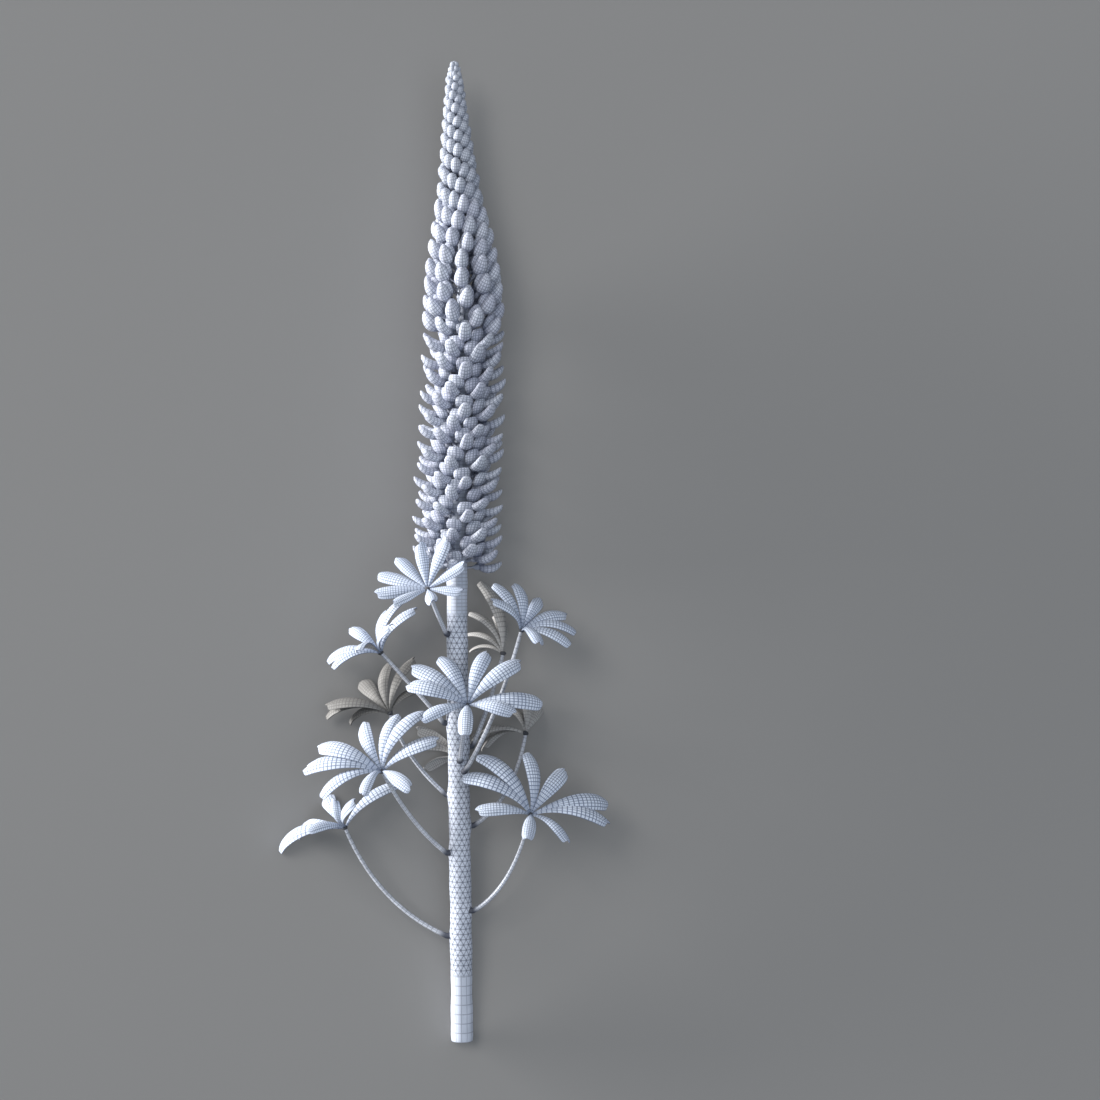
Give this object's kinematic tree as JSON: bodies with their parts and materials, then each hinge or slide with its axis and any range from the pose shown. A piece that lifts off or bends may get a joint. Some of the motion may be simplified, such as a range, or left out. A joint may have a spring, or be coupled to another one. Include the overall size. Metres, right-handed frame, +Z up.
{
  "type": "lupin flower spike",
  "caption": "Cut lupin flower spike lying on its side: a thick stem with palmate leaves on long petioles and a tapering raceme of open pea flowers, opening flowers and closed buds.",
  "frame": {"origin": "under the middle of the whole plant's box, on the surface it lies on", "axes": "+Y along the stem from the cut end to the tip of the flowers, +Z up from the surface it lies on, +X to the right seen from above with the tip up"},
  "size_m": [0.2524, 0.7424, 0.1023],
  "materials": {
    "stem": "matte pale blue-white, with fine darker lines in a square and triangular net",
    "petiole": "matte pale blue-grey, with fine lines along it",
    "leaflet": "matte pale blue-white, with a fine grid of darker lines along and across the blade",
    "floret": "matte pale lilac-white, with fine darker lines round each petal",
    "bud": "matte pale lilac-white, with fine darker lines from base to point"
  },
  "bodies": {
    "root": {"stem": "stem", "open_florets_01": "floret", "open_florets_02": "floret", "open_florets_03": "floret", "open_florets_04": "floret", "open_florets_05": "floret", "open_florets_06": "floret", "open_florets_07": "floret", "open_florets_08": "floret", "open_florets_09": "floret", "open_florets_10": "floret", "open_florets_11": "floret", "open_florets_12": "floret", "open_florets_13": "floret", "open_florets_14": "floret", "open_florets_15": "floret", "opening_florets_16": "floret", "opening_florets_17": "floret", "opening_florets_18": "floret", "opening_florets_19": "floret", "opening_florets_20": "floret", "opening_florets_21": "floret", "buds_22": "bud", "buds_23": "bud", "buds_24": "bud", "buds_25": "bud", "buds_26": "bud", "buds_27": "bud", "buds_28": "bud", "buds_29": "bud", "buds_30": "bud", "buds_31": "bud", "buds_32": "bud", "buds_33": "bud", "tip_bud": "bud", "petiole_01": "petiole", "leaflets_01": "leaflet", "petiole_02": "petiole", "leaflets_02": "leaflet", "petiole_03": "petiole", "leaflets_03": "leaflet", "petiole_04": "petiole", "leaflets_04": "leaflet", "petiole_05": "petiole", "leaflets_05": "leaflet", "petiole_06": "petiole", "leaflets_06": "leaflet", "petiole_07": "petiole", "leaflets_07": "leaflet", "petiole_08": "petiole", "leaflets_08": "leaflet", "petiole_09": "petiole", "leaflets_09": "leaflet", "petiole_10": "petiole", "leaflets_10": "leaflet", "petiole_11": "petiole", "leaflets_11": "leaflet"}
  },
  "joints": []
}
